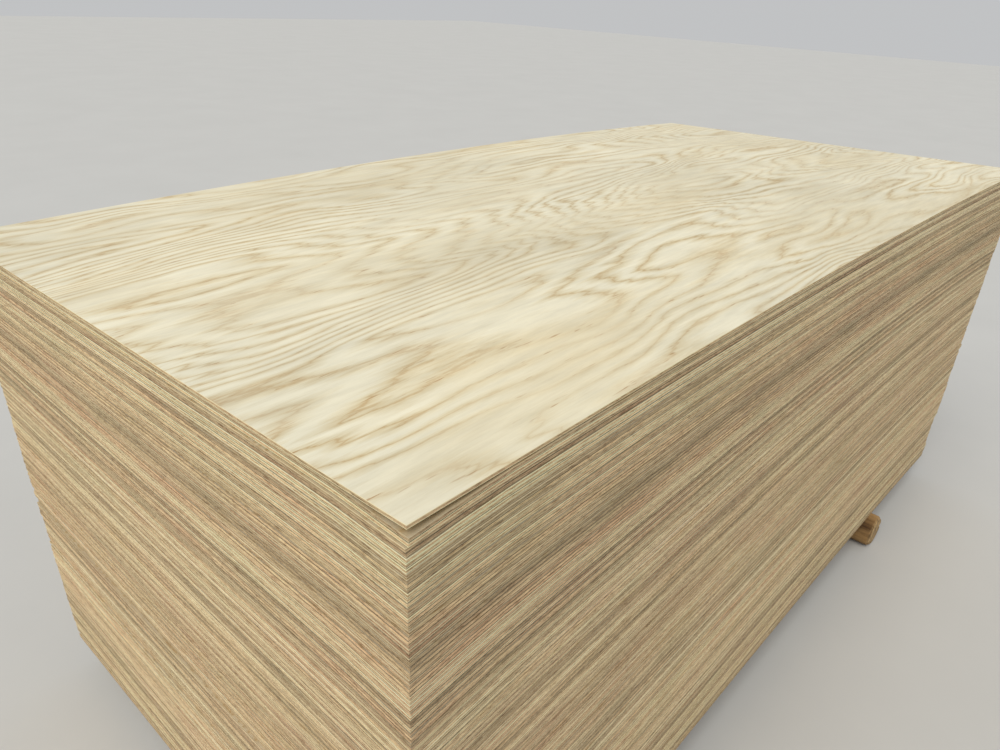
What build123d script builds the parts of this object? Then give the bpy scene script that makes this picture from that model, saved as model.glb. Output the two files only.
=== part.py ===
from build123d import *
import math
import os
from random import Random

# A pile of thin plywood sheets, laid edge to edge on two round timber bearers.
# Millimetres. X runs along the sheets, Y across them, and Z is up.
# The origin is on the floor, under the middle of the pile.

# Sheets
sheet_length = 2440.0
sheet_width = 1220.0
sheet_thickness = 4.91
thickness_spread = 0.12  # how far one sheet may be thicker or thinner
sheet_gap = 0.12  # air between two sheets where they lie closest
sheets_in_lift = 8  # sheets that make one lift
lift_count = 24  # lifts below the single top sheet

# Pile, pressed together below, and loose at the top, where its sheets fan open at their ends and front
pressed_crown = 37.0  # how much lower than its middle the ends of a pressed sheet lie
top_crown = 20.4  # the same at the top of the pile
front_rise = 24.4  # how much higher the front edge lies than the back edge at the top of the pile
loose_depth = 240.0  # how far down from the top the sheets lie loosely
bays = 7  # straight stretches that make up a sheet's curve, the middle one level
pile_lean = 5.0  # the top of the pile has drifted this far towards +Y
handful = 6  # sheets usually laid down in one go
handful_jog = 2.0  # how far a handful may lie out of line with the pile
handful_turn = 0.03  # degrees that a handful may be turned on the pile
sheet_jog = 0.7  # how far a sheet may lie out of line with its handful

# Near corner of the top sheet, which has sprung up
corner_lift = 8.0
corner_length = 260.0  # where the fold meets the long edge
corner_width = 150.0  # where the fold meets the short edge

# Bearers, peeled round billets pressed flat where they carry the pile and meet the floor
bearer_diameter = 104.0
bearer_height = 100.0  # between the middles of the two flats
bearer_spacing = 1330.0
bearer_overhang = 30.0  # how far each end shows past the sheets
bearer_bevel = 8.0  # wear round the sawn ends
bearing_gap = 0.05  # between a bearer's upper flat and the bottom sheet

sheet_count = lift_count * sheets_in_lift + 1
pile_height = sheet_count * (sheet_thickness + sheet_gap)
bay_length = sheet_length / bays
bearer_length = sheet_width + 2 * bearer_overhang
chance = Random(11)


def bay_ends(x):
    """Where the straight stretch of a sheet's curve at x starts and ends."""
    bay = min(max(math.floor(x / bay_length + bays / 2), 0), bays - 1)
    return [(bay + end - bays / 2) * bay_length for end in (0, 1)]


def droop(x, crown):
    """How much lower than the top of its curve a sheet of this crown lies at x."""
    start, end = bay_ends(x)
    drops = [crown * (2 * bend / sheet_length) ** 2 for bend in (start, end)]
    return drops[0] + (drops[1] - drops[0]) * (x - start) / (end - start)


def looseness(level):
    """0 where the sheets are pressed together, growing to 1 at the top of the pile."""
    return max(0.0, 1 - (pile_height - level) / loose_depth)


def crown_at(level):
    """How much lower than its middle the ends of the sheet at this level lie."""
    return pressed_crown - (pressed_crown - top_crown) * looseness(level)


def long_edge(crown, thickness, jog):
    """Outline of a sheet's long edge, seen along Y: its underside, then its top back again."""
    bends = [(bay - bays / 2) * bay_length for bay in range(1, bays)]
    stations = [jog - sheet_length / 2, *bends, jog + sheet_length / 2]
    underside = [(x - jog, -droop(x, crown)) for x in stations]
    top = [(x - jog, thickness - droop(x, crown)) for x in reversed(stations)]
    return underside + top


def back_edge(jog_x, jog_y, level, turn=0.0):
    """Plane of a sheet's +Y long edge, square to the sheet and facing its other long edge."""
    rise = front_rise * looseness(level)
    height = bed_height + level - rise * jog_y / sheet_width
    edge = Vector(0, sheet_width / 2, 0).rotate(Axis.Z, turn)
    return Plane(
        origin=Vector(jog_x, jog_y, height) + edge,
        x_dir=Vector(1, 0, 0).rotate(Axis.Z, turn),
        z_dir=Vector(0, -sheet_width, rise).rotate(Axis.Z, turn),
    )


def lean(level):
    """How far the pile has drifted along Y at a level."""
    return pile_lean * level / pile_height


def jogged(reach):
    """A random offset of at most reach, either way."""
    return chance.uniform(-reach, reach)


os.makedirs("parts", exist_ok=True)
bed_height = bearer_height + droop(bearer_spacing / 2, pressed_crown)  # top of the bottom sheet's curve

# Bearers: peeled round billets that lie across under the pile
inner, outer = bay_ends(bearer_spacing / 2)
grade = (droop(outer, pressed_crown) - droop(inner, pressed_crown)) / bay_length
for name, side in (("bearer_left", -1), ("bearer_right", 1)):
    with BuildPart() as bearer:
        with BuildSketch(Plane.XZ):
            with Locations((side * bearer_spacing / 2, bearer_height / 2)):
                Circle(bearer_diameter / 2)
        extrude(amount=bearer_length / 2, both=True)
        chamfer(bearer.edges().filter_by(GeomType.CIRCLE), bearer_bevel)
        seat = Plane(
            origin=(side * bearer_spacing / 2, 0, bearer_height - bearing_gap),
            z_dir=(side * grade, 0, 1),
        )
        split(bisect_by=seat, keep=Keep.BOTTOM)
        split(bisect_by=Plane.XY, keep=Keep.TOP)
    bearer.part.label = name
    export_step(bearer.part, f"parts/{name}.step")

# Lifts of sheets, each sheet bedded on the one below
level = 0.0
hand_x, hand_y, turn = 0.0, 0.0, 0.0
for lift in range(1, lift_count + 1):
    with BuildPart() as sheets:
        for _ in range(sheets_in_lift):
            if chance.random() < 1 / handful:
                hand_x, hand_y, turn = jogged(handful_jog), jogged(handful_jog), jogged(handful_turn)
            thickness = sheet_thickness + jogged(thickness_spread)
            jog_x = hand_x + jogged(sheet_jog)
            jog_y = hand_y + jogged(sheet_jog) + lean(level)
            with BuildSketch(back_edge(jog_x, jog_y, level, turn)):
                with BuildLine():
                    Polyline(*long_edge(crown_at(level), thickness, jog_x), close=True)
                make_face()
            level += thickness + sheet_gap
        extrude(amount=sheet_width)
    name = f"sheets_{lift:02d}"
    sheets.part.label = name
    export_step(sheets.part, f"parts/{name}.step")

# Top sheet: its near corner is cut off along the fold and put back lifted off the pile
edge = back_edge(0, lean(level), level)
crown = crown_at(level)
short_side = -sheet_length / 2
fold_x = short_side + corner_length


def on_top_sheet(x, depth, height):
    """A point at a height over the top sheet's underside and a depth from its back edge."""
    return edge.from_local_coords(Vector(x, height - droop(x, crown), depth))


fold_start = on_top_sheet(fold_x, sheet_width, 0)
fold = on_top_sheet(short_side, sheet_width - corner_width, 0) - fold_start
fold_plane = Plane(origin=fold_start, x_dir=fold, z_dir=fold.cross(edge.y_dir))
with BuildPart() as top_sheet:
    with BuildSketch(edge):
        with BuildLine():
            Polyline(*long_edge(crown, sheet_thickness, 0), close=True)
        make_face()
    extrude(amount=sheet_width)
    split(bisect_by=fold_plane, keep=Keep.TOP)
    for surface in (0, sheet_thickness):
        corners = [
            on_top_sheet(fold_x, sheet_width, surface),
            on_top_sheet(short_side, sheet_width - corner_width, surface),
            on_top_sheet(short_side, sheet_width, surface + corner_lift),
        ]
        across, along = corners[1] - corners[0], corners[2] - corners[0]
        flap = Plane(origin=corners[0], x_dir=across, z_dir=across.cross(along))
        with BuildSketch(flap):
            with BuildLine():
                Polyline(*[flap.to_local_coords(corner) for corner in corners], close=True)
            make_face()
    loft(ruled=True)
top_sheet.part.label = "top_sheet"
export_step(top_sheet.part, "parts/top_sheet.step")
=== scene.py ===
import bmesh
import bpy
from math import atan2, cos, pi, radians, sin
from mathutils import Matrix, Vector, noise
from random import Random


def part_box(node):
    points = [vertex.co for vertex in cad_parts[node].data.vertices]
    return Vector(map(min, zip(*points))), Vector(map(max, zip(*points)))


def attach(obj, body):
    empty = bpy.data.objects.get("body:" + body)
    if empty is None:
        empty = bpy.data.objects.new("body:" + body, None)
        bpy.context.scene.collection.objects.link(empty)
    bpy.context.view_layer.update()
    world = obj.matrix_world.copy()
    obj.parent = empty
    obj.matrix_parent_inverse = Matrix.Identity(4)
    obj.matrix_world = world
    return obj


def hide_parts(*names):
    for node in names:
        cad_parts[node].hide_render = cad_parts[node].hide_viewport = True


# A pile of plywood sheets on two round billets, dressed for the render.
# Metres. X runs along the sheets, Y across them, Z is up, and the floor is at 0.

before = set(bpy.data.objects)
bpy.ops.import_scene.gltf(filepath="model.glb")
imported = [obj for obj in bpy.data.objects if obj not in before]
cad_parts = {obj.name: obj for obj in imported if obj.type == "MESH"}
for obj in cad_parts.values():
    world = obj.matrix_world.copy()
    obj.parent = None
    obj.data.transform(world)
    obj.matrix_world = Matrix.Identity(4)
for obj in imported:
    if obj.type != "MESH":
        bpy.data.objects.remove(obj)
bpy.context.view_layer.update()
print("frame loaded:", len(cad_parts), "nodes")


# Small helpers that build node trees

def feed(tree, socket, value):
    if isinstance(value, bpy.types.NodeSocket):
        tree.links.new(value, socket)
    else:
        socket.default_value = value


def addNode(tree, kind, inputs=(), **settings):
    node = tree.nodes.new(kind)
    for name, value in settings.items():
        setattr(node, name, value)
    for key, value in dict(inputs).items():
        feed(tree, node.inputs[key], value)
    return node


def calc(tree, operation, *values, clamp=False):
    node = addNode(tree, "ShaderNodeMath", operation=operation, use_clamp=clamp)
    for socket, value in zip(node.inputs, values):
        feed(tree, socket, value)
    return node.outputs[0]


def restOf(tree, share):
    return calc(tree, "SUBTRACT", 1.0, share)


# 1 where a value is further from 0 than the limit, to either side
def beyond(tree, value, limit):
    return calc(tree, "GREATER_THAN", calc(tree, "ABSOLUTE", value), limit)


def spread(tree, value, low, high, newLow=0.0, newHigh=1.0):
    inputs = {0: value, 1: low, 2: high, 3: newLow, 4: newHigh}
    return addNode(tree, "ShaderNodeMapRange", inputs).outputs[0]


def partsOf(tree, vector):
    return addNode(tree, "ShaderNodeSeparateXYZ", {0: vector}).outputs


def joined(tree, *parts):
    return addNode(tree, "ShaderNodeCombineXYZ", dict(enumerate(parts))).outputs[0]


def stretched(tree, vector, scale):
    inputs = {0: vector, 1: scale}
    return addNode(tree, "ShaderNodeVectorMath", inputs, operation="MULTIPLY").outputs[0]


# soft noise: scale is in waves to a unit on each axis, and another seed gives another cloud
def cloud(tree, vector, scale, detail=2.0, rough=0.5, seed=None):
    inputs = {"Vector": stretched(tree, vector, scale), "Scale": 1.0, "Detail": detail, "Roughness": rough}
    if seed is None:
        return addNode(tree, "ShaderNodeTexNoise", inputs, noise_dimensions="3D").outputs[0]
    node = addNode(tree, "ShaderNodeTexNoise", inputs, noise_dimensions="4D")
    feed(tree, node.inputs["W"], seed)
    return node.outputs[0]


def blendColours(tree, share, first, second, way="MIX"):
    node = addNode(tree, "ShaderNodeMix", data_type="RGBA", blend_type=way)
    feed(tree, node.inputs[0], share)
    feed(tree, node.inputs[6], first)
    feed(tree, node.inputs[7], second)
    return node.outputs[2]


def shaded(tree, wood, shade):
    greys = addNode(tree, "ShaderNodeCombineColor", {0: shade, 1: shade, 2: shade}).outputs[0]
    return blendColours(tree, 1.0, wood, greys, "MULTIPLY")


def colour(red, green, blue):
    return tuple((part / 255) ** 2.2 for part in (red, green, blue)) + (1.0,)


def newGroup(name, kind, inputs, outputs):
    tree = bpy.data.node_groups.new(name, kind)
    for label, socketKind, value in inputs:
        socket = tree.interface.new_socket(name=label, in_out="INPUT", socket_type=socketKind)
        if value is not None:
            socket.default_value = value
    for label, socketKind in outputs:
        tree.interface.new_socket(name=label, in_out="OUTPUT", socket_type=socketKind)
    return tree, addNode(tree, "NodeGroupInput").outputs, addNode(tree, "NodeGroupOutput")


# Reading the sheets that the CAD model holds

def middleOf(values):
    return (min(values) + max(values)) / 2


def readSheet(points):
    lowX, highX = min(p.x for p in points), max(p.x for p in points)
    nearEnd = 0.1 * (highX - lowX)  # a tenth of its length tells an end from the rest
    left = [p for p in points if p.x < lowX + nearEnd]
    right = [p for p in points if p.x > highX - nearEnd]
    start = Vector((middleOf([p.x for p in left]), middleOf([p.y for p in left]), 0))
    end = Vector((middleOf([p.x for p in right]), middleOf([p.y for p in right]), 0))
    middle, lie = (start + end) / 2, end - start
    centre = [p for p in points if abs(p.x - middle.x) < nearEnd]
    back = [p.z for p in centre if p.y > middle.y]
    low, high = min(back), max(back)
    rise = min(p.z for p in centre if p.y < middle.y) - low  # of its front over its back
    corner = [p.z for p in right if p.y > middle.y]
    width = max(p.y for p in right) - min(p.y for p in right)
    return {
        "middle": middle,
        "size": (lie.length, width, atan2(lie.y, lie.x)),
        "levels": (low, high, rise),
        "sags": (low - min(corner), high - max(corner)),
    }


def readSheets(node):
    weldReach = 0.00001
    welded = bmesh.new()
    welded.from_mesh(node.data)
    bmesh.ops.remove_doubles(welded, verts=welded.verts, dist=weldReach)
    sheets = []
    for start in welded.verts:
        if start.tag:
            continue
        start.tag = True
        points, waiting = [], [start]
        while waiting:
            vertex = waiting.pop()
            points.append(vertex.co.copy())
            for edge in vertex.link_edges:
                other = edge.other_vert(vertex)
                if not other.tag:
                    other.tag = True
                    waiting.append(other)
        sheets.append(readSheet(points))
    welded.free()
    return sorted(sheets, key=lambda sheet: sheet["levels"][0])


# The sheets: one Geometry Nodes tree makes them all

sheetPile = {
    "stepsAlong": 36,  # how finely a sheet is cut, for its curve
    "stepsAcross": 12,
    "edgeSteps": 6,
    "arris": 0.00012,  # how far the arrises are worn back
    "ragged": 0.00030,  # how far the saw wandered
    "wander": (9.0, 9.0, 1.0),  # how often, in waves to a metre
    "gape": 0.0009,  # how far a rim draws in where two sheets don't quite meet
    "gapes": (2.2, 2.2, 1.0),
    "cornerSink": 0.0065,  # how far the near corners sink under the top sheet's
    "cornerAlong": 0.16,  # how far in the near corner bends
    "cornerAcross": 0.16,
    "cornerCurve": 1.6,
    "newBatch": 0.22,  # chance that a sheet starts another batch
    "batchShare": 0.3,  # how alike the sheets of a batch are
    "edgeShare": 0.93,  # of the baking map, for edges, and the rest is for faces
    "upperFaceShare": 0.5,  # of that rest, for upper faces
    "seed": 7,
}
topSheet = {
    "stepsAlong": 96,  # it shows its whole face
    "stepsAcross": 48,
    "cornerLift": 0.001,
    "edgeShare": 0.12,
    "upperFaceShare": 0.9,
}
# how much of its strip or cell in the baking map each part fills, so that neighbours stay apart
bakeMap = {
    "edgeHigh": (0.06, 0.94),
    "longEdge": 0.98,
    "shortEdge": 0.48,  # two of them share a strip
    "faceAlong": 0.96,
    "faceAcross": 0.9,
}


def readAttribute(tree, name, kind="FLOAT"):
    return addNode(tree, "GeometryNodeInputNamedAttribute", {"Name": name}, data_type=kind).outputs[0]


def keepAttribute(tree, geometry, name, value, kind, domain):
    inputs = {"Geometry": geometry, "Name": name, "Value": value}
    node = addNode(tree, "GeometryNodeStoreNamedAttribute", inputs, data_type=kind, domain=domain)
    return node.outputs["Geometry"]


def makeSheetTree():
    tree, given, result = newGroup(
        "plywoodSheets", "GeometryNodeTree",
        [
            ("Sheet Points", "NodeSocketGeometry", None),
            ("Steps Along", "NodeSocketInt", 36),
            ("Steps Across", "NodeSocketInt", 12),
            ("Edge Steps", "NodeSocketInt", 6),
            ("Arris", "NodeSocketFloat", 0.0),
            ("Ragged", "NodeSocketFloat", 0.0),
            ("Gape", "NodeSocketFloat", 0.0),
            ("Sheet Count", "NodeSocketFloat", 8.0),
            ("Edge Share", "NodeSocketFloat", 0.93),
            ("Upper Face Share", "NodeSocketFloat", 0.5),
            ("Corner Lift", "NodeSocketFloat", 0.0),
            ("Corner Along", "NodeSocketFloat", 1.0),
            ("Corner Across", "NodeSocketFloat", 1.0),
            ("Seed", "NodeSocketInt", 0),
            ("Face Finish", "NodeSocketMaterial", None),
            ("Edge Finish", "NodeSocketMaterial", None),
        ],
        [("Geometry", "NodeSocketGeometry")],
    )
    tree.is_modifier = True

    # a unit sheet, whose rows up its edges stand closest near its faces
    cube = addNode(tree, "GeometryNodeMeshCube", {
        "Size": (1, 1, 1),
        "Vertices X": calc(tree, "ADD", given["Steps Along"], 1),
        "Vertices Y": calc(tree, "ADD", given["Steps Across"], 1),
        "Vertices Z": calc(tree, "ADD", given["Edge Steps"], 1),
    })
    unit = partsOf(tree, addNode(tree, "GeometryNodeInputPosition").outputs[0])
    normal = partsOf(tree, addNode(tree, "GeometryNodeInputNormal").outputs[0])
    rise = calc(tree, "MULTIPLY", calc(tree, "ADD", unit[2], 0.5), pi)
    ply = calc(tree, "MULTIPLY_ADD", calc(tree, "COSINE", rise), -0.5, 0.5)
    longSide = calc(tree, "MULTIPLY", beyond(tree, normal[1], 0.5),
                    calc(tree, "ADD", calc(tree, "GREATER_THAN", normal[1], 0.0), 1.0))
    shortSide = calc(tree, "MULTIPLY", beyond(tree, normal[0], 0.5),
                     calc(tree, "ADD", calc(tree, "GREATER_THAN", normal[0], 0.0), 3.0))
    side = calc(tree, "ADD", longSide, shortSide)  # 0 a face, 1 front, 2 back, 3 left, 4 right
    spot = joined(tree, unit[0], unit[1], ply)
    geometry = keepAttribute(tree, cube.outputs["Mesh"], "spot", spot, "FLOAT_VECTOR", "POINT")
    geometry = keepAttribute(tree, geometry, "side", side, "FLOAT", "FACE")
    pile = addNode(tree, "GeometryNodeInstanceOnPoints", {
        "Points": given["Sheet Points"],
        "Instance": geometry,
    })
    geometry = addNode(tree, "GeometryNodeRealizeInstances", {0: pile.outputs[0]}).outputs[0]

    # each sheet at its own size and place
    spot, size, levels, sags = [partsOf(tree, readAttribute(tree, name, "FLOAT_VECTOR"))
                                for name in ("spot", "size", "levels", "sags")]
    middle = readAttribute(tree, "middle", "FLOAT_VECTOR")
    number = sags[2]
    sheetSeed = calc(tree, "ADD", readAttribute(tree, "sheetSeed"), given["Seed"])
    sameSpot = joined(tree, calc(tree, "MULTIPLY", spot[0], size[0]),
                      calc(tree, "MULTIPLY", spot[1], size[1]))
    rim = 0.4999  # a unit sheet ends at 0.5
    onShort = beyond(tree, spot[0], rim)
    onLong = beyond(tree, spot[1], rim)
    onRim = beyond(tree, calc(tree, "SUBTRACT", spot[2], 0.5), rim)
    wander = cloud(tree, sameSpot, sheetPile["wander"], 3.0, 0.6, sheetSeed)
    inset = calc(tree, "ADD",
                 calc(tree, "MULTIPLY", onRim, given["Arris"]),
                 calc(tree, "MULTIPLY", spread(tree, wander, 0.3, 0.7), given["Ragged"]))
    along = calc(tree, "MULTIPLY", spot[0], calc(
        tree, "SUBTRACT", size[0], calc(tree, "MULTIPLY", calc(tree, "MULTIPLY", onShort, inset), 2.0)))
    across = calc(tree, "MULTIPLY", spot[1], calc(
        tree, "SUBTRACT", size[1], calc(tree, "MULTIPLY", calc(tree, "MULTIPLY", onLong, inset), 2.0)))
    turned = addNode(tree, "ShaderNodeVectorRotate", {
        "Vector": joined(tree, along, across),
        "Angle": size[2],
    }, rotation_type="Z_AXIS").outputs[0]
    placed = addNode(tree, "ShaderNodeVectorMath", {0: turned, 1: middle}, operation="ADD").outputs[0]
    ground = partsOf(tree, placed)

    # its tilt and crown, its gaping edges, and a near corner that springs up or sinks
    tilt = calc(tree, "MULTIPLY", levels[2], calc(tree, "SUBTRACT", 0.5, spot[1]))
    level = calc(tree, "ADD", tilt, spread(tree, spot[2], 0.0, 1.0, levels[0], levels[1]))
    sag = spread(tree, spot[2], 0.0, 1.0, sags[0], sags[1])
    crown = calc(tree, "MULTIPLY", sag, calc(tree, "POWER", calc(tree, "ABSOLUTE", calc(
        tree, "MULTIPLY", spot[0], 2.0)), 2.0))
    upper = calc(tree, "GREATER_THAN", spot[2], 0.5)
    apart = cloud(tree, sameSpot, sheetPile["gapes"], 2.0, 0.6, calc(tree, "ADD", sheetSeed, upper))
    pinch = calc(tree, "MULTIPLY", calc(tree, "MULTIPLY", spread(tree, apart, 0.5, 0.66), given["Gape"]),
                 calc(tree, "MULTIPLY", onRim, calc(tree, "MAXIMUM", onShort, onLong)))
    pinch = calc(tree, "MULTIPLY", pinch, spread(tree, upper, 0.0, 1.0, 1.0, -1.0))
    fromLeft = calc(tree, "DIVIDE", calc(tree, "MULTIPLY", calc(tree, "ADD", spot[0], 0.5), size[0]),
                    given["Corner Along"])
    fromFront = calc(tree, "DIVIDE", calc(tree, "MULTIPLY", calc(tree, "ADD", spot[1], 0.5), size[1]),
                     given["Corner Across"])
    near = calc(tree, "SUBTRACT", restOf(tree, fromLeft), fromFront, clamp=True)
    curl = calc(tree, "MULTIPLY", calc(tree, "POWER", near, sheetPile["cornerCurve"]), given["Corner Lift"])
    height = calc(tree, "ADD", calc(tree, "ADD", calc(tree, "SUBTRACT", level, crown), pinch), curl)
    geometry = addNode(tree, "GeometryNodeSetPosition", {
        "Geometry": geometry,
        "Position": joined(tree, ground[0], ground[1], height),
    }).outputs[0]

    # a map for baking: three strips for the edges of each sheet, and a band of cells for the faces
    side = readAttribute(tree, "side")
    isFace = calc(tree, "LESS_THAN", side, 0.5)
    isShort = calc(tree, "GREATER_THAN", side, 2.5)
    isLong = calc(tree, "SUBTRACT", restOf(tree, isFace), isShort)
    strip = calc(tree, "ADD", calc(tree, "MULTIPLY", number, 3.0),
                 calc(tree, "MINIMUM", calc(tree, "SUBTRACT", side, 1.0), 2.0))
    stripHigh = calc(tree, "DIVIDE", given["Edge Share"], calc(tree, "MULTIPLY", given["Sheet Count"], 3.0))
    inStrip = spread(tree, spot[2], 0.0, 1.0, *bakeMap["edgeHigh"])
    edgeV = calc(tree, "MULTIPLY", stripHigh, calc(tree, "ADD", strip, inStrip))
    longU = calc(tree, "MULTIPLY_ADD", spot[0], bakeMap["longEdge"], 0.5)
    shortU = calc(tree, "ADD", calc(tree, "MULTIPLY_ADD", spot[1], bakeMap["shortEdge"], 0.25),
                  calc(tree, "MULTIPLY", calc(tree, "GREATER_THAN", side, 3.5), 0.5))
    lower = restOf(tree, upper)
    upperShare = given["Upper Face Share"]
    cellWide = calc(tree, "DIVIDE", 1.0, given["Sheet Count"])
    faceWide = calc(tree, "MULTIPLY", cellWide, calc(
        tree, "ADD", calc(tree, "MULTIPLY", upper, upperShare),
        calc(tree, "MULTIPLY", lower, restOf(tree, upperShare))))
    faceLeft = calc(tree, "ADD", calc(tree, "MULTIPLY", number, cellWide), calc(
        tree, "MULTIPLY", lower, calc(tree, "MULTIPLY", cellWide, upperShare)))
    faceU = calc(tree, "ADD", faceLeft, calc(
        tree, "MULTIPLY", faceWide, calc(tree, "MULTIPLY_ADD", spot[0], bakeMap["faceAlong"], 0.5)))
    faceV = calc(tree, "ADD", given["Edge Share"], calc(
        tree, "MULTIPLY", restOf(tree, given["Edge Share"]),
        calc(tree, "MULTIPLY_ADD", spot[1], bakeMap["faceAcross"], 0.5)))
    mapU = calc(tree, "ADD", calc(tree, "MULTIPLY", isFace, faceU), calc(
        tree, "ADD", calc(tree, "MULTIPLY", isLong, longU), calc(tree, "MULTIPLY", isShort, shortU)))
    mapV = calc(tree, "ADD", calc(tree, "MULTIPLY", isFace, faceV),
                calc(tree, "MULTIPLY", restOf(tree, isFace), edgeV))
    geometry = keepAttribute(tree, geometry, "OFBake", joined(tree, mapU, mapV), "FLOAT2", "CORNER")
    geometry = addNode(tree, "GeometryNodeRealizeInstances", {0: geometry}).outputs[0]
    geometry = addNode(tree, "GeometryNodeSetMaterial", {
        "Geometry": geometry,
        "Material": given["Edge Finish"],
    }).outputs[0]
    geometry = addNode(tree, "GeometryNodeSetMaterial", {
        "Geometry": geometry,
        "Selection": isFace,
        "Material": given["Face Finish"],
    }).outputs[0]
    feed(tree, result.inputs["Geometry"], geometry)
    return tree


def sheetInputs(cut, cornerLift, faceFinish, edgeFinish):
    return {
        "Steps Along": cut["stepsAlong"],
        "Steps Across": cut["stepsAcross"],
        "Edge Steps": sheetPile["edgeSteps"],
        "Arris": sheetPile["arris"],
        "Ragged": sheetPile["ragged"],
        "Gape": sheetPile["gape"],
        "Edge Share": cut["edgeShare"],
        "Upper Face Share": cut["upperFaceShare"],
        "Corner Lift": cornerLift,
        "Corner Along": sheetPile["cornerAlong"],
        "Corner Across": sheetPile["cornerAcross"],
        "Seed": sheetPile["seed"],
        "Face Finish": faceFinish,
        "Edge Finish": edgeFinish,
    }


def setInputs(modifier, values):
    for item in modifier.node_group.interface.items_tree:
        if item.item_type == "SOCKET" and item.in_out == "INPUT" and item.name in values:
            modifier[item.identifier] = values[item.name]


# the tones of one sheet: a batch from the same press is alike, and its sheets differ a little
batch = {"tone": 0.5, "warmth": 0.5}


def nextLook(chance):
    if chance.random() < sheetPile["newBatch"]:
        batch["tone"], batch["warmth"] = chance.random(), chance.random()
    share = sheetPile["batchShare"]
    look = {name: share * batch[name] + (1 - share) * chance.random() for name in batch}
    return {**look, "paleVeneer": chance.random(), "sheetSeed": chance.uniform(0.0, 400.0)}


def makeSheets(nodeName, tree, chance, settings):
    sheets = readSheets(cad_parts[nodeName])
    points = bpy.data.meshes.new(nodeName + "_points")
    points.from_pydata([(0, 0, 0)] * len(sheets), [], [])
    for name in ("middle", "size", "levels", "sags"):
        attribute = points.attributes.new(name, "FLOAT_VECTOR", "POINT")
        for number, sheet in enumerate(sheets):
            values = sheet[name] if name != "sags" else (*sheet["sags"], number)
            attribute.data[number].vector = values
    covered = 0.0 if nodeName == "top_sheet" else 1.0  # its faces are hidden by the sheet above
    looks = [{**nextLook(chance), "covered": covered} for _ in sheets]
    for name in looks[0]:
        attribute = points.attributes.new(name, "FLOAT", "POINT")
        attribute.data.foreach_set("value", [look[name] for look in looks])
    carrier = bpy.data.objects.new(nodeName + "_carrier", points)
    bpy.context.scene.collection.objects.link(carrier)
    modifier = carrier.modifiers.new("sheets", "NODES")
    modifier.node_group = tree
    setInputs(modifier, {**settings, "Sheet Count": float(len(sheets))})
    bpy.context.view_layer.update()
    made = carrier.evaluated_get(bpy.context.evaluated_depsgraph_get())
    mesh = bpy.data.meshes.new_from_object(made)
    mesh.name = nodeName + "_veneered"
    carrier.modifiers.remove(modifier)
    bpy.data.objects.remove(carrier)
    piece = bpy.data.objects.new(nodeName + "_veneered", mesh)
    bpy.context.scene.collection.objects.link(piece)
    return piece


# Finishes

def newFinish(name, roughness):
    finish = bpy.data.materials.new(name)
    finish.use_nodes = True
    tree = finish.node_tree
    tree.nodes.clear()
    shader = addNode(tree, "ShaderNodeBsdfPrincipled")
    shader.inputs["Roughness"].default_value = roughness
    shader.inputs["Specular IOR Level"].default_value = 0.3  # dull, as bare wood is
    output = addNode(tree, "ShaderNodeOutputMaterial")
    tree.links.new(shader.outputs[0], output.inputs[0])
    return finish, tree, shader


def objectSpot(tree):
    return addNode(tree, "ShaderNodeTexCoord").outputs["Object"]


def shaderAttribute(tree, name, output="Fac"):
    return addNode(tree, "ShaderNodeAttribute", attribute_name=name).outputs[output]


def raised(tree, shader, height, strength, distance):
    bump = addNode(tree, "ShaderNodeBump", {"Height": height})
    bump.inputs["Strength"].default_value = strength
    bump.inputs["Distance"].default_value = distance
    tree.links.new(bump.outputs[0], shader.inputs["Normal"])


# streaks that run along a grain and patches about eight times as broad, used by all three woods
def makeFibreGroup():
    tree, given, result = newGroup(
        "woodFibre", "ShaderNodeTree",
        [("Vector", "NodeSocketVector", None), ("Seed", "NodeSocketFloat", 0.0)],
        [("Streaks", "NodeSocketFloat"), ("Patches", "NodeSocketFloat")],
    )
    fine = cloud(tree, given["Vector"], (1.0, 1.0, 1.0), 4.0, 0.65, given["Seed"])
    patches = cloud(tree, given["Vector"], (0.12, 0.12, 0.12), 2.0, 0.5, given["Seed"])
    feed(tree, result.inputs["Streaks"], spread(tree, fine, 0.3, 0.7))
    feed(tree, result.inputs["Patches"], spread(tree, patches, 0.32, 0.68))
    return tree


def fibre(tree, group, vector, scale, seed=0.0):
    node = addNode(tree, "ShaderNodeGroup", node_tree=group)
    feed(tree, node.inputs["Vector"], stretched(tree, vector, scale))
    feed(tree, node.inputs["Seed"], seed)
    return node.outputs["Streaks"], node.outputs["Patches"]


pineFace = {
    "pale": colour(254, 247, 220),
    "cream": colour(244, 233, 200),
    "tan": colour(230, 213, 173),
    "line": colour(212, 184, 137),
    "fleck": colour(176, 126, 72),
    "dustAndShade": colour(150, 122, 86),  # dust, and painted shade in the gap between two sheets
    # how far a covered face turns to dust and painted shade
    "dustAndShadeShare": 0.6,
    "rings": 36.0,  # growth lines in the figure's full height
    "ring": (  # the colours from one growth line to the next
        (0.0, "tan"), (0.16, "cream"), (0.36, "pale"), (0.56, "pale"),
        (0.74, "cream"), (0.88, "tan"), (0.94, "line"), (1.0, "tan"),
    ),
    "frayed": 0.12,  # how far a line's sides fray, in rings
    "long": 0.55,  # broad figure, waves in a metre along and across the grain
    "wide": 2.3,
    "zigzag": 0.040,  # how far the flames' tips stray along the grain
    "sway": 0.022,  # how far the lines wander across it
    "clearness": (0.3, 1.0),  # how strongly the lines show, where faintest and clearest
    "clearerLeft": 0.12,  # how much clearer they are at the left end
    "patchShare": 0.6,  # how far broad patches turn pale or tan
    "streakShare": 0.14,
    "fleckShare": 0.6,
    "fibreToneAndSheen": (0.89, 1.06),  # how far the fine streaks darken and lighten: fibre tone, and painted sheen where light catches the fibres
    "broadShade": (0.85, 1.05),
    "roughness": (0.48, 0.62),
}


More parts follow.
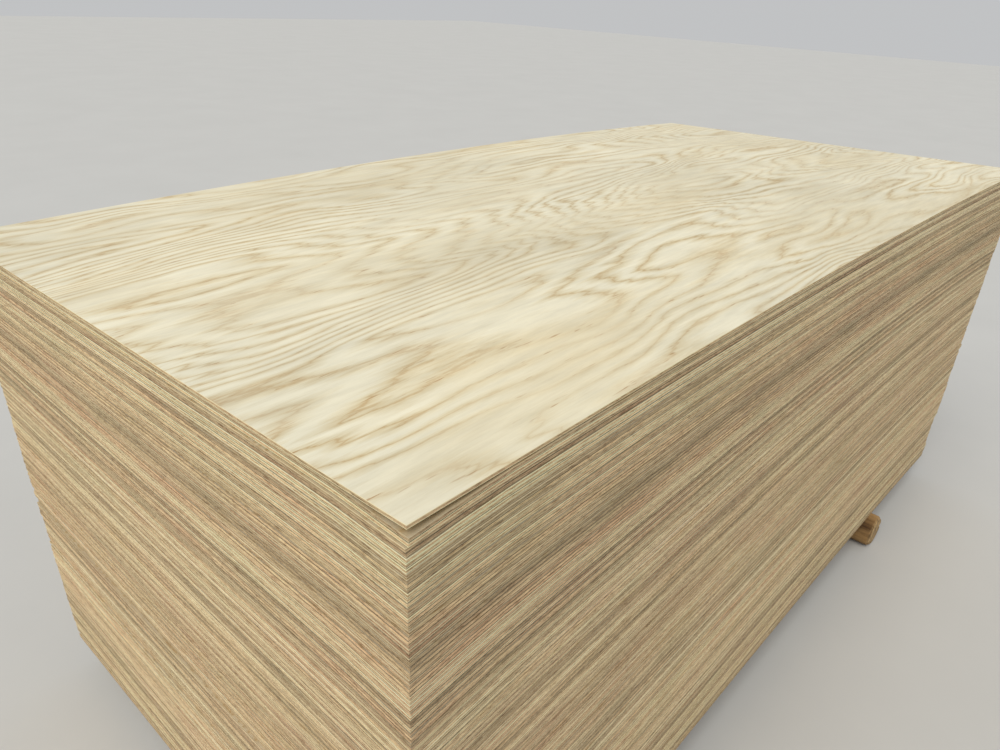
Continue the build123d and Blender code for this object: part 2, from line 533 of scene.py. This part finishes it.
# the height of the growth rings under a peeled veneer: its contours are the figure
def ringHeight(tree, spot):
    long, wide = pineFace["long"], pineFace["wide"]
    zigzag, sway = pineFace["zigzag"], pineFace["sway"]
    parts = partsOf(tree, spot)
    jagged = cloud(tree, spot, (4.5, 44.0, 1.0), 3.0, 0.6, seed=6.0)
    slow = cloud(tree, spot, (3.5, 4.0, 1.0), 1.0, 0.5, seed=9.0)
    bent = joined(
        tree,
        calc(tree, "ADD", parts[0], spread(tree, jagged, 0.25, 0.75, -zigzag, zigzag)),
        calc(tree, "ADD", parts[1], spread(tree, slow, 0.25, 0.75, -sway, sway)),
        parts[2],
    )
    broad = cloud(tree, bent, (long, wide, 1.0), 1.0, 0.5)
    middling = cloud(tree, bent, (2.2 * long, 2.8 * wide, 1.0), 1.0, 0.5)
    return calc(tree, "MULTIPLY_ADD", middling, 0.3, broad)


def makePineFace(fibreGroup):
    finish, tree, shader = newFinish("pineFace", 0.55)
    place = partsOf(tree, objectSpot(tree))
    spot = joined(tree, place[0], place[1], shaderAttribute(tree, "sheetSeed"))  # a figure for each sheet

    # the growth lines, strong in places and faint in others
    ragged = spread(tree, cloud(tree, spot, (18.0, 130.0, 1.0), 3.0, 0.65, seed=15.0), 0.3, 0.7,
                    -pineFace["frayed"], pineFace["frayed"])
    ring = calc(tree, "FRACT", calc(tree, "MULTIPLY_ADD", ringHeight(tree, spot), pineFace["rings"], ragged))
    rampNode = addNode(tree, "ShaderNodeValToRGB", {0: ring})
    ramp = rampNode.color_ramp
    first, *between, last = pineFace["ring"]
    for element, (position, shade) in zip(ramp.elements, (first, last)):
        element.position, element.color = position, pineFace[shade]
    for position, shade in between:
        ramp.elements.new(position).color = pineFace[shade]
    strength = calc(tree, "ADD", cloud(tree, spot, (1.8, 6.0, 1.0), 2.0, 0.5, seed=3.0),
                    spread(tree, place[0], -1.22, -0.4, pineFace["clearerLeft"], 0.0))
    wood = blendColours(tree, spread(tree, strength, 0.36, 0.64, *pineFace["clearness"]), pineFace["cream"],
                        rampNode.outputs[0])

    # broad pale and tan patches, fine streaks, and dark flecks on the lines
    streaks, patches = fibre(tree, fibreGroup, spot, (7.0, 420.0, 1.0))
    hue = cloud(tree, spot, (1.6, 4.2, 1.0), 3.0, 0.6, seed=21.0)
    wood = blendColours(tree, spread(tree, hue, 0.5, 0.72, 0.0, pineFace["patchShare"]), wood,
                        pineFace["pale"])
    wood = blendColours(tree, spread(tree, hue, 0.48, 0.28, 0.0, pineFace["patchShare"]), wood,
                        pineFace["tan"])
    wood = blendColours(tree, spread(tree, streaks, 0.5, 1.0, 0.0, pineFace["streakShare"]), wood,
                        pineFace["line"])
    flecks = spread(tree, cloud(tree, spot, (26.0, 260.0, 1.0), 1.0, 0.5, seed=8.0), 0.64, 0.72,
                    0.0, pineFace["fleckShare"])
    onLine = spread(tree, ring, 0.7, 0.9)
    wood = blendColours(tree, calc(tree, "MULTIPLY", flecks, onLine), wood, pineFace["fleck"])

    # its shade, with painted sheen where light catches the fibres, and dust and painted shade on a face that
    # another sheet covers
    # fine streaks of fibre tone and painted sheen, where light catches the fibres
    fibreToneAndSheen = cloud(tree, spot, (9.0, 60.0, 1.0), 4.0, 0.65, seed=12.0)
    broadShade = cloud(tree, spot, (1.4, 3.0, 1.0), 3.0, 0.6, seed=17.0)
    wood = shaded(tree, wood, calc(tree, "MULTIPLY", spread(tree, fibreToneAndSheen, 0.3, 0.7, *pineFace["fibreToneAndSheen"]),
                                   spread(tree, broadShade, 0.3, 0.7, *pineFace["broadShade"])))
    # a covered face is darkened: dust, and painted shade where it lies under the sheet above
    dustAndShade = calc(tree, "MULTIPLY", shaderAttribute(tree, "covered"), pineFace["dustAndShadeShare"])
    wood = blendColours(tree, dustAndShade, wood, pineFace["dustAndShade"])
    feed(tree, shader.inputs["Base Color"], wood)
    feed(tree, shader.inputs["Roughness"], spread(tree, patches, 0.0, 1.0, *pineFace["roughness"]))
    raised(tree, shader, streaks, 0.06, 0.0004)
    return finish


plywoodEdge = {
    "faceVeneer": colour(248, 229, 184),
    "core": colour(231, 202, 156),
    "redCore": colour(219, 183, 142),
    "oliveCore": colour(209, 187, 143),
    "glue": colour(112, 78, 47),
    # painted shade, for the hollows and for the gaps between sheets
    "hollow": colour(60, 40, 26),
    "faceShare": 0.18,  # how much of the thickness each face veneer takes
    "blur": 0.012,  # how softly one veneer passes into the next
    "wobble": 0.035,  # how far the veneers waver, in thicknesses
    "streakShare": 0.6,
    "tornShare": 0.75,
    "turnsPale": (0.72, 0.84),  # where a face veneer passes from brown to clean
    "splits": (0.70, 0.77),  # higher for fewer hollows
    "splitShare": 0.85,
    # how dark the painted shade in the gaps between sheets is
    "gapShadeShare": 0.9,
    "shade": (0.80, 1.26),  # darkest and lightest sheet
    "dustShade": (0.93, 1.06),
    "driftShade": (0.92, 1.10),
    "average": colour(180, 157, 119),
    "contrast": 1.22,  # how far the tones stand off from the average
    "roughness": (0.62, 0.82),
}


def makePlywoodEdge(fibreGroup):
    finish, tree, shader = newFinish("plywoodEdge", 0.7)
    spot = objectSpot(tree)
    ply = partsOf(tree, shaderAttribute(tree, "spot", "Vector"))[2]
    sheetSeed = shaderAttribute(tree, "sheetSeed")
    tone, warmth = shaderAttribute(tree, "tone"), shaderAttribute(tree, "warmth")
    wobble = cloud(tree, spot, (26.0, 26.0, 26.0), 2.0, 0.5, sheetSeed)
    height = calc(tree, "ADD", ply, spread(tree, wobble, 0.0, 1.0, -plywoodEdge["wobble"],
                                           plywoodEdge["wobble"]))
    fromMiddle = calc(tree, "ABSOLUTE", calc(tree, "SUBTRACT", height, 0.5))
    faceStart, blur = 0.5 - plywoodEdge["faceShare"], plywoodEdge["blur"]
    isFaceVeneer = spread(tree, fromMiddle, faceStart - blur, faceStart + blur)
    upperCore = calc(tree, "GREATER_THAN", height, 0.5)
    plySeed = calc(tree, "ADD", sheetSeed, calc(tree, "MULTIPLY", upperCore, 31.0))

    # the two core veneers, each with its own tone that drifts along the edge
    drift = cloud(tree, spot, (3.0, 3.0, 0.4), 2.0, 0.55, plySeed)
    streaks = fibre(tree, fibreGroup, spot, (90.0, 90.0, 900.0), plySeed)[0]
    blotch = cloud(tree, spot, (6.0, 6.0, 22.0), 3.0, 0.6, seed=4.0)  # crosses the sheets
    hue = calc(tree, "MULTIPLY_ADD", drift, 0.4, calc(tree, "MULTIPLY_ADD", warmth, 0.25, blotch))
    core = blendColours(tree, spread(tree, hue, 0.84, 1.02), plywoodEdge["core"], plywoodEdge["redCore"])
    core = blendColours(tree, spread(tree, hue, 0.82, 0.62), core, plywoodEdge["oliveCore"])
    core = blendColours(tree, spread(tree, streaks, 0.3, 1.0, 0.0, plywoodEdge["streakShare"]), core,
                        plywoodEdge["glue"])
    torn = cloud(tree, spot, (75.0, 75.0, 420.0), 3.0, 0.7, plySeed)
    core = blendColours(tree, spread(tree, torn, 0.50, 0.70, 0.0, plywoodEdge["tornShare"]), core,
                        plywoodEdge["glue"])

    # the face veneers: some pale and clean, others as brown as the cores, and dirtier in places
    worn = cloud(tree, spot, (5.0, 5.0, 0.6), 3.0, 0.65, calc(tree, "ADD", plySeed, 11.0))
    clean = calc(tree, "MULTIPLY_ADD", shaderAttribute(tree, "paleVeneer"), 0.6, worn)
    veneer = blendColours(tree, spread(tree, clean, *plywoodEdge["turnsPale"], 0.08, 1.0), core,
                          plywoodEdge["faceVeneer"])
    wood = blendColours(tree, isFaceVeneer, core, veneer)

    # glue lines, painted shade in hollows where a core veneer has split or falls short, and painted shade in
    # the gaps between sheets
    fromGlue = calc(tree, "ABSOLUTE", calc(tree, "SUBTRACT", fromMiddle, faceStart))
    # dark glue lines, drawn wider than the glue itself, so that they also hold painted shade along the
    # joints
    glue = calc(tree, "MAXIMUM", spread(tree, fromGlue, 0.010, 0.034, 0.6, 0.0),
                spread(tree, fromMiddle, 0.008, 0.036, 1.0, 0.0))
    glue = calc(tree, "MULTIPLY", glue, spread(tree, drift, 0.35, 0.65, 0.25, 0.8))
    wood = blendColours(tree, glue, wood, plywoodEdge["glue"])
    split = cloud(tree, spot, (32.0, 32.0, 160.0), 2.0, 0.6, calc(tree, "ADD", plySeed, 5.0))
    hollow = calc(tree, "MULTIPLY", spread(tree, split, *plywoodEdge["splits"]), restOf(tree, isFaceVeneer))
    wood = blendColours(tree, calc(tree, "MULTIPLY", hollow, plywoodEdge["splitShare"]), wood,
                        plywoodEdge["hollow"])
    # painted shade in the gaps at each sheet's top and bottom rim, left out beside a clean veneer
    gapShade = calc(tree, "MULTIPLY", spread(tree, fromMiddle, 0.36, 0.46),
                 spread(tree, clean, 0.82, 0.62, 0.0, 1.0))  # a clean veneer shows no gap beside it
    wood = blendColours(tree, calc(tree, "MULTIPLY", gapShade, plywoodEdge["gapShadeShare"]), wood,
                        plywoodEdge["hollow"])

    # how light the sheet is, with scuffs and dust that cross the sheets
    dust = cloud(tree, spot, (2.2, 2.2, 3.5), 4.0, 0.6, seed=2.0)
    shade = calc(tree, "MULTIPLY", spread(tree, tone, 0.15, 0.85, *plywoodEdge["shade"]),
                 spread(tree, dust, 0.3, 0.7, *plywoodEdge["dustShade"]))
    wood = shaded(tree, wood, calc(tree, "MULTIPLY", shade,
                                   spread(tree, drift, 0.3, 0.7, *plywoodEdge["driftShade"])))

    # crisper: past 1, the mix carries each tone further from the average
    crisp = addNode(tree, "ShaderNodeMix", data_type="RGBA", clamp_factor=False, clamp_result=True)
    feed(tree, crisp.inputs[0], plywoodEdge["contrast"])
    feed(tree, crisp.inputs[6], plywoodEdge["average"])
    feed(tree, crisp.inputs[7], wood)
    feed(tree, shader.inputs["Base Color"], crisp.outputs[2])
    feed(tree, shader.inputs["Roughness"], spread(tree, streaks, 0.0, 1.0, *plywoodEdge["roughness"]))
    relief = calc(tree, "SUBTRACT", calc(tree, "MULTIPLY", streaks, 0.4), calc(tree, "ADD", glue, hollow))
    raised(tree, shader, relief, 0.5, 0.0004)
    return finish


rawBillet = {
    "light": colour(186, 148, 98),
    "brown": colour(128, 94, 58),
    "dark": colour(62, 46, 31),
    "sawn": colour(220, 186, 134),
    "ringWide": 0.0042,
    "ringShare": 0.8,
    "fuzzShare": 0.8,
    "relief": 0.0028,
    "roughness": (0.7, 0.9),
}


def makeRawBillet(fibreGroup):
    finish, tree, shader = newFinish("rawBillet", 0.8)
    spot = shaderAttribute(tree, "billetSpot", "Vector")  # from the billet's own axis
    parts = partsOf(tree, spot)
    onEnd = shaderAttribute(tree, "sawnEnd")
    streaks, patches = fibre(tree, fibreGroup, spot, (160.0, 9.0, 160.0))
    bark = blendColours(tree, streaks, rawBillet["dark"], rawBillet["brown"])
    bark = blendColours(tree, spread(tree, patches, 0.4, 0.9), bark, rawBillet["light"])
    radius = calc(tree, "SQRT", calc(tree, "ADD", calc(
        tree, "MULTIPLY", parts[0], parts[0]), calc(tree, "MULTIPLY", parts[2], parts[2])))
    uneven = cloud(tree, spot, (22.0, 22.0, 22.0), 2.0, 0.5)
    rings = calc(tree, "FRACT", calc(tree, "MULTIPLY_ADD", uneven, 1.6, calc(
        tree, "DIVIDE", radius, rawBillet["ringWide"])))
    end = blendColours(tree, spread(tree, rings, 0.3, 1.0, 0.0, rawBillet["ringShare"]), rawBillet["sawn"],
                       rawBillet["brown"])
    fuzz = cloud(tree, spot, (130.0, 130.0, 40.0), 4.0, 0.7)  # strands that the saw tore
    end = blendColours(tree, spread(tree, fuzz, 0.46, 0.60, 0.0, rawBillet["fuzzShare"]), end,
                       rawBillet["dark"])
    wood = blendColours(tree, onEnd, bark, end)
    feed(tree, shader.inputs["Base Color"], wood)
    feed(tree, shader.inputs["Roughness"], spread(tree, streaks, 0.0, 1.0, *rawBillet["roughness"]))
    raised(tree, shader, calc(tree, "ADD", streaks, fuzz), 0.9, rawBillet["relief"])
    return finish


# The round billets under the pile, with waves, ridges and checked ends

billet = {
    "stepsRound": 72,
    "stepsAlong": 120,
    "capRings": 14,
    "capShare": 0.9,  # how much of the radius the sawn end's rings are spread over
    "worn": 0.008,  # how long the rounded rim of each end is
    "shoulder": 0.985,  # how wide it is just inside the rim
    "shoulderLong": 1.5,  # in rims
    "waveDeep": 0.022,  # of the radius
    "waves": 2.2,  # to a metre along it
    "ridgeDeep": 0.012,
    "ridges": (9, 5),  # round it and along it
    "cracks": 5,
    "crackWide": 0.09,  # in radians
    "crackDeep": 0.004,
    "checkDeep": 0.003,  # where a crack runs on along the side
    "checkLong": 0.06,
    "seed": 3,
}


def makeBillet(nodeName, finish):
    low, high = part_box(nodeName)
    centre, reach = (low + high) / 2, (high - low) / 2
    chance = Random(billet["seed"] + len(nodeName))
    drift = Vector((chance.uniform(0, 50), chance.uniform(0, 50), chance.uniform(0, 50)))
    cracks = [(chance.uniform(0, 2 * pi), chance.uniform(0.5, 1.0)) for _ in range(billet["cracks"])]
    mesh = bmesh.new()
    stations = [(y / billet["stepsAlong"] * 2 - 1) * (reach.y - billet["worn"])
                for y in range(billet["stepsAlong"] + 1)]
    rings, ends = [], []
    roundIt, alongIt = billet["ridges"]

    def addRing(y, share, sawn):
        ring = []
        checkShare = 1 if abs(y) > reach.y - billet["checkLong"] else 0
        for step in range(billet["stepsRound"]):
            angle = 2 * pi * step / billet["stepsRound"]
            wave = noise.noise(drift + Vector((cos(angle), sin(angle), y * billet["waves"])))
            ridge = noise.noise(drift + Vector((cos(angle) * roundIt, sin(angle) * roundIt, y * alongIt)))
            radius = reach.x * share * (
                1 - billet["waveDeep"] * (1 + wave) - billet["ridgeDeep"] * (1 + ridge))
            crack = 0.0
            for crackAngle, deep in cracks:
                away = abs((angle - crackAngle + pi) % (2 * pi) - pi)
                crack = max(crack, max(0.0, 1 - away / billet["crackWide"]) * deep)
            inward = billet["crackDeep"] * crack * sawn * share
            radius -= billet["checkDeep"] * crack * share * checkShare
            z = max(-reach.z, min(reach.z, radius * sin(angle)))
            point = centre + Vector((radius * cos(angle), y - (inward if y > 0 else -inward), z))
            ring.append(mesh.verts.new(point))
            ends.append(1.0 if sawn else 0.0)
        rings.append(ring)

    for capRing in range(1, billet["capRings"]):
        addRing(-reach.y, capRing / billet["capRings"] * billet["capShare"], 1)
    for y in stations:
        fromEnd = (reach.y - abs(y)) / billet["worn"]
        addRing(y, 1.0 if fromEnd > billet["shoulderLong"] else billet["shoulder"], 0)
    for capRing in range(billet["capRings"] - 1, 0, -1):
        addRing(reach.y, capRing / billet["capRings"] * billet["capShare"], 1)
    for lower, upper in zip(rings, rings[1:]):
        for step in range(billet["stepsRound"]):
            after = (step + 1) % billet["stepsRound"]
            mesh.faces.new((lower[step], lower[after], upper[after], upper[step]))
    mesh.faces.new(rings[0])
    mesh.faces.new(rings[-1])
    bmesh.ops.recalc_face_normals(mesh, faces=mesh.faces)
    data = bpy.data.meshes.new(nodeName + "_wood")
    mesh.to_mesh(data)
    mesh.free()
    for polygon in data.polygons:
        polygon.use_smooth = True
    spots = data.attributes.new("billetSpot", "FLOAT_VECTOR", "POINT")
    spots.data.foreach_set("vector", [part for v in data.vertices for part in v.co - centre])
    sawn = data.attributes.new("sawnEnd", "FLOAT", "POINT")
    sawn.data.foreach_set("value", ends)
    data.materials.append(finish)
    piece = bpy.data.objects.new(nodeName + "_wood", data)
    bpy.context.scene.collection.objects.link(piece)
    return piece


# Making the pile

fibreGroup = makeFibreGroup()
faceFinish = makePineFace(fibreGroup)
edgeFinish = makePlywoodEdge(fibreGroup)
billetFinish = makeRawBillet(fibreGroup)
print("finishes made")

sheetTree = makeSheetTree()
chance = Random(sheetPile["seed"])
inPile = sheetInputs(sheetPile, -sheetPile["cornerSink"], faceFinish, edgeFinish)
onTop = sheetInputs(topSheet, topSheet["cornerLift"], faceFinish, edgeFinish)
triangles = 0
for nodeName in sorted(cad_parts):
    if nodeName.startswith("bearer"):
        piece = makeBillet(nodeName, billetFinish)
    else:
        piece = makeSheets(nodeName, sheetTree, chance, onTop if nodeName == "top_sheet" else inPile)
    triangles += sum(len(face.vertices) - 2 for face in piece.data.polygons)
    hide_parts(nodeName)
    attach(piece, "root")
print("sheets and billets made,", triangles, "triangles")


# Floor, light and camera

studio = {
    "floorReach": 30.0,
    "floorTones": (colour(203, 203, 201), colour(212, 212, 210)),
    "skyTint": (0.97, 0.985, 1.0, 1.0),
    "skyStrength": 0.55,
    "lampFrom": (-0.62, -0.12, 0.78),  # the way its light comes from
    "lampSpot": (-3.0, -1.0, 5.0),
    "lampTint": (1.0, 0.96, 0.88),
    "lampStrength": 1.50,
    "lampSpread": 40,  # degrees, wider for softer shadows
}


def makeFloor():
    mesh = bpy.data.meshes.new("studio_floor")
    reach = studio["floorReach"]
    mesh.from_pydata([(-reach, -reach, 0), (reach, -reach, 0), (reach, reach, 0), (-reach, reach, 0)],
                     [], [(0, 1, 2, 3)])
    finish, tree, shader = newFinish("paleFloor", 0.8)
    mottled = cloud(tree, objectSpot(tree), (1.5, 1.5, 1.5), 5.0, 0.6)
    feed(tree, shader.inputs["Base Color"], blendColours(tree, mottled, *studio["floorTones"]))
    mesh.materials.append(finish)
    floor = bpy.data.objects.new("studio_floor", mesh)
    bpy.context.scene.collection.objects.link(floor)


def makeSoftLight():
    lamp = bpy.data.lights.new("softBox", "SUN")
    lamp.energy = studio["lampStrength"]
    lamp.color = studio["lampTint"]
    lamp.angle = radians(studio["lampSpread"])
    holder = bpy.data.objects.new("softBox", lamp)
    holder.location = studio["lampSpot"]
    holder.rotation_euler = Vector(studio["lampFrom"]).to_track_quat("Z", "Y").to_euler()
    bpy.context.scene.collection.objects.link(holder)


def makeSky():
    world = bpy.data.worlds.new("softStudio")
    world.use_nodes = True
    background = world.node_tree.nodes["Background"]
    background.inputs["Color"].default_value = studio["skyTint"]
    background.inputs["Strength"].default_value = studio["skyStrength"]
    bpy.context.scene.world = world


camera = {
    "spot": (-1.5561, -1.0017, 1.4890),
    "turn": (61.039, -2.595, -48.008),  # degrees
    "sensor": 36.0,
    "nearest": 0.02,
    "frameWide": 1000,  # the photograph's own frame, in pixels
    "focal": 755.4,
    "axisRight": 9.7,  # from the middle of the frame to the lens axis
    "axisDown": 33.1,
}


def makeCamera():
    lens = bpy.data.cameras.new("photoLens")
    lens.sensor_width = camera["sensor"]
    lens.lens = camera["focal"] * camera["sensor"] / camera["frameWide"]
    lens.shift_x = -camera["axisRight"] / camera["frameWide"]
    lens.shift_y = camera["axisDown"] / camera["frameWide"]
    lens.clip_start = camera["nearest"]
    holder = bpy.data.objects.new("photoCamera", lens)
    holder.location = camera["spot"]
    holder.rotation_euler = [radians(angle) for angle in camera["turn"]]
    bpy.context.scene.collection.objects.link(holder)
    bpy.context.scene.camera = holder


makeFloor()
makeSky()
makeSoftLight()
makeCamera()
bpy.context.scene.view_settings.view_transform = "Standard"
print("camera and light set")
